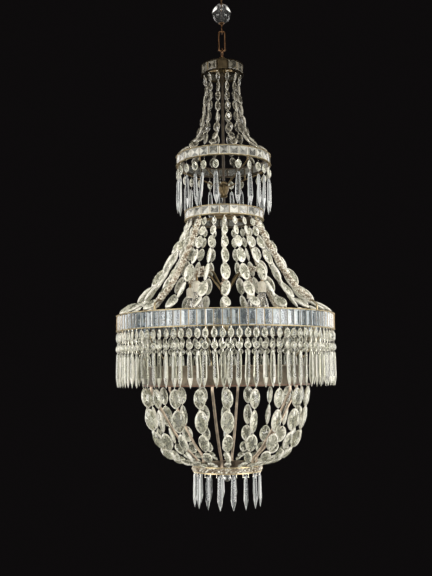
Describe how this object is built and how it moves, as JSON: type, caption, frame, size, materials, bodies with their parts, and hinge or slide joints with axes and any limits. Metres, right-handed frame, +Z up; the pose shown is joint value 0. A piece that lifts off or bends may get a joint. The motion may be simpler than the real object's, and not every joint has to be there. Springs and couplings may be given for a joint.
{
  "type": "crystal chandelier",
  "caption": "Tent-and-bag crystal chandelier: strands of cut ovals between brass rings, spear-prism fringes, hung from an eye by a glass ball and a link.",
  "frame": {"origin": "centre of the bore in the suspension eye, from which the whole chandelier hangs", "axes": "+Z up along the hanging axis, the front faces -Y, +X to the right of the front"},
  "size_m": [0.604, 0.604, 1.493],
  "materials": {
    "cut_crystal": "polished, cut facets",
    "bulb_glass": "clear blown",
    "aged_brass": "aged, brown",
    "gilt_brass": "gilt, satin",
    "bright_wire": "bright",
    "beige_brass": "pale gilt, satin",
    "rose_brass": "rose gilt, satin",
    "ivory_enamel": "gloss ivory",
    "cream_beads": "small cut beads, cream"
  },
  "bodies": {
    "ceiling_eye": {"suspension_eye": "aged_brass"},
    "ball_drop": {"ball_stem": "aged_brass", "glass_ball": "cut_crystal", "ball_caps": "aged_brass"},
    "link": {"hook_link": "bright_wire"},
    "chandelier": {"crown_loop": "aged_brass", "crown_spider": "gilt_brass", "cable_gland": "aged_brass", "crown_ring": "gilt_brass", "crown_ring_crystals": "cut_crystal", "crown_strand_ovals": "cut_crystal", "central_rod": "ivory_enamel", "upper_spider": "aged_brass", "neck_spider": "gilt_brass", "rod_collar": "aged_brass", "main_spider": "gilt_brass", "rod_nut": "aged_brass", "upper_ring": "gilt_brass", "upper_ring_crystals": "cut_crystal", "neck_ring": "gilt_brass", "neck_ring_crystals": "cut_crystal", "main_ring": "gilt_brass", "main_ring_baguettes": "cut_crystal", "tent_strand_ovals": "cut_crystal", "tent_stays": "gilt_brass", "stay_beading": "cream_beads", "lamp_arms": "aged_brass", "lamp_holders": "ivory_enamel", "lamp_bulbs": "bulb_glass", "main_fringe_ovals": "cut_crystal", "main_fringe_rounds": "cut_crystal", "main_fringe_spears": "cut_crystal", "upper_fringe_ovals": "cut_crystal", "upper_fringe_spears": "cut_crystal", "fringe_pins": "bright_wire", "basket_band": "beige_brass", "basket_hangers": "gilt_brass", "basket_ribs": "rose_brass", "basket_strand_ovals": "cut_crystal", "strand_wire_joints": "bright_wire", "bottom_ring": "gilt_brass", "bottom_ring_beads": "cream_beads", "finial_ball": "cut_crystal", "drop_stirrups": "gilt_brass"},
    "prism_01": {"bottom_prism_01": "cut_crystal"},
    "prism_02": {"bottom_prism_02": "cut_crystal"},
    "prism_03": {"bottom_prism_03": "cut_crystal"},
    "prism_04": {"bottom_prism_04": "cut_crystal"},
    "prism_05": {"bottom_prism_05": "cut_crystal"},
    "prism_06": {"bottom_prism_06": "cut_crystal"},
    "prism_07": {"bottom_prism_07": "cut_crystal"},
    "prism_08": {"bottom_prism_08": "cut_crystal"},
    "prism_09": {"bottom_prism_09": "cut_crystal"},
    "prism_10": {"bottom_prism_10": "cut_crystal"},
    "prism_11": {"bottom_prism_11": "cut_crystal"},
    "prism_12": {"bottom_prism_12": "cut_crystal"},
    "prism_13": {"bottom_prism_13": "cut_crystal"},
    "prism_14": {"bottom_prism_14": "cut_crystal"},
    "prism_15": {"bottom_prism_15": "cut_crystal"},
    "prism_16": {"bottom_prism_16": "cut_crystal"}
  },
  "joints": [
    {"name": "eye_to_ball_swing", "type": "hinge", "parent": "ceiling_eye", "child": "ball_drop", "pos_m": [0, 0, -0.038], "axis": [1, 0, 0], "range_deg": [-30, 30]},
    {"name": "ball_to_link_swing", "type": "hinge", "parent": "ball_drop", "child": "link", "pos_m": [0, 0, -0.143], "axis": [0, 1, 0], "range_deg": [-30, 30]},
    {"name": "link_to_crown_swing", "type": "hinge", "parent": "link", "child": "chandelier", "pos_m": [0, 0, -0.196], "axis": [1, 0, 0], "range_deg": [-25, 25]},
    {"name": "prism_01_swing", "type": "hinge", "parent": "chandelier", "child": "prism_01", "pos_m": [0.01454, -0.08882, -1.391], "axis": [-0.9869, -0.1616, 0], "range_deg": [-25, 40]},
    {"name": "prism_02_swing", "type": "hinge", "parent": "chandelier", "child": "prism_02", "pos_m": [0.04743, -0.07649, -1.391], "axis": [-0.8499, -0.527, 0], "range_deg": [-25, 40]},
    {"name": "prism_03_swing", "type": "hinge", "parent": "chandelier", "child": "prism_03", "pos_m": [0.07309, -0.05252, -1.391], "axis": [-0.5835, -0.8121, 0], "range_deg": [-25, 40]},
    {"name": "prism_04_swing", "type": "hinge", "parent": "chandelier", "child": "prism_04", "pos_m": [0.08762, -0.02055, -1.391], "axis": [-0.2284, -0.9736, 0], "range_deg": [-25, 40]},
    {"name": "prism_05_swing", "type": "hinge", "parent": "chandelier", "child": "prism_05", "pos_m": [0.08882, 0.01454, -1.391], "axis": [0.1616, -0.9869, 0], "range_deg": [-25, 40]},
    {"name": "prism_06_swing", "type": "hinge", "parent": "chandelier", "child": "prism_06", "pos_m": [0.07649, 0.04743, -1.391], "axis": [0.527, -0.8499, 0], "range_deg": [-25, 40]},
    {"name": "prism_07_swing", "type": "hinge", "parent": "chandelier", "child": "prism_07", "pos_m": [0.05252, 0.07309, -1.391], "axis": [0.8121, -0.5835, 0], "range_deg": [-25, 40]},
    {"name": "prism_08_swing", "type": "hinge", "parent": "chandelier", "child": "prism_08", "pos_m": [0.02055, 0.08762, -1.391], "axis": [0.9736, -0.2284, 0], "range_deg": [-25, 40]},
    {"name": "prism_09_swing", "type": "hinge", "parent": "chandelier", "child": "prism_09", "pos_m": [-0.01454, 0.08882, -1.391], "axis": [0.9869, 0.1616, 0], "range_deg": [-25, 40]},
    {"name": "prism_10_swing", "type": "hinge", "parent": "chandelier", "child": "prism_10", "pos_m": [-0.04743, 0.07649, -1.391], "axis": [0.8499, 0.527, 0], "range_deg": [-25, 40]},
    {"name": "prism_11_swing", "type": "hinge", "parent": "chandelier", "child": "prism_11", "pos_m": [-0.07309, 0.05252, -1.391], "axis": [0.5835, 0.8121, 0], "range_deg": [-25, 40]},
    {"name": "prism_12_swing", "type": "hinge", "parent": "chandelier", "child": "prism_12", "pos_m": [-0.08762, 0.02055, -1.391], "axis": [0.2284, 0.9736, 0], "range_deg": [-25, 40]},
    {"name": "prism_13_swing", "type": "hinge", "parent": "chandelier", "child": "prism_13", "pos_m": [-0.08882, -0.01454, -1.391], "axis": [-0.1616, 0.9869, 0], "range_deg": [-25, 40]},
    {"name": "prism_14_swing", "type": "hinge", "parent": "chandelier", "child": "prism_14", "pos_m": [-0.07649, -0.04743, -1.391], "axis": [-0.527, 0.8499, 0], "range_deg": [-25, 40]},
    {"name": "prism_15_swing", "type": "hinge", "parent": "chandelier", "child": "prism_15", "pos_m": [-0.05252, -0.07309, -1.391], "axis": [-0.8121, 0.5835, 0], "range_deg": [-25, 40]},
    {"name": "prism_16_swing", "type": "hinge", "parent": "chandelier", "child": "prism_16", "pos_m": [-0.02055, -0.08762, -1.391], "axis": [-0.9736, 0.2284, 0], "range_deg": [-25, 40]}
  ]
}
